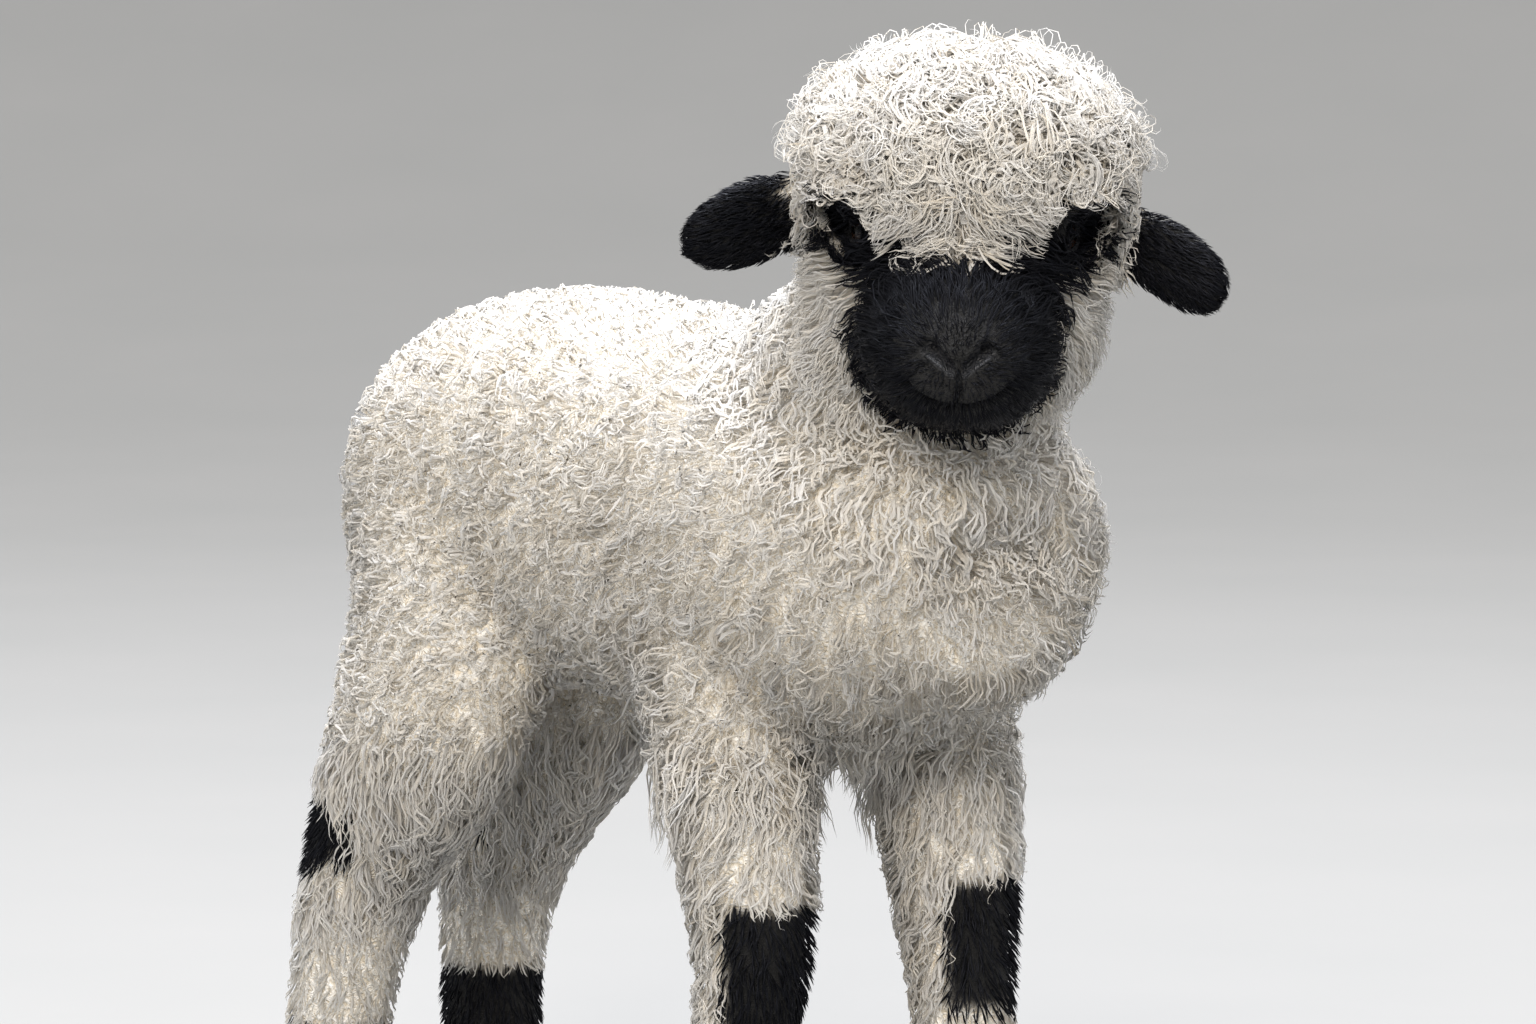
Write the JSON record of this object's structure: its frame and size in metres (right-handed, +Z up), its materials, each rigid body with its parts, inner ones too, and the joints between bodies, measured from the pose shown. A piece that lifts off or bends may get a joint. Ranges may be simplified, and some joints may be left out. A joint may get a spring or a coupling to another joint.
{
  "type": "valais blacknose lamb model",
  "caption": "Life-size still model of a curly white lamb with a black face, ears, knees and feet, standing square with its head turned to its right.",
  "frame": {"origin": "middle of the bottom of the bounding box, on the floor that the hooves stand on", "axes": "+X towards the lamb's left side, -Y the way its body heads, +Z up"},
  "size_m": [0.2294, 0.5836, 0.5928],
  "materials": {
    "wool": "crimped off-white wool in curls and locks, matt",
    "black_fur": "short plush black fur, matt with a faint blue-grey sheen",
    "eye": "wet dark brown eye, glossy",
    "hoof": "black hoof horn, satin"
  },
  "bodies": {
    "root": {"topknot": "wool", "head": "wool", "muzzle": "black_fur", "neck": "wool", "chest": "wool", "barrel": "wool", "rump": "wool", "tail": "wool", "ear_left": "black_fur", "ear_right": "black_fur", "eye_left": "eye", "eye_right": "eye", "foreleg_upper_left": "wool", "foreleg_lower_left": "wool", "foreleg_foot_left": "black_fur", "claw_foreleg_left_a": "hoof", "claw_foreleg_left_b": "hoof", "foreleg_upper_right": "wool", "foreleg_lower_right": "wool", "foreleg_foot_right": "black_fur", "claw_foreleg_right_a": "hoof", "claw_foreleg_right_b": "hoof", "hindleg_upper_left": "wool", "hindleg_lower_left": "wool", "hindleg_foot_left": "black_fur", "claw_hindleg_left_a": "hoof", "claw_hindleg_left_b": "hoof", "hindleg_upper_right": "wool", "hindleg_lower_right": "wool", "hindleg_foot_right": "black_fur", "claw_hindleg_right_a": "hoof", "claw_hindleg_right_b": "hoof"}
  },
  "joints": []
}
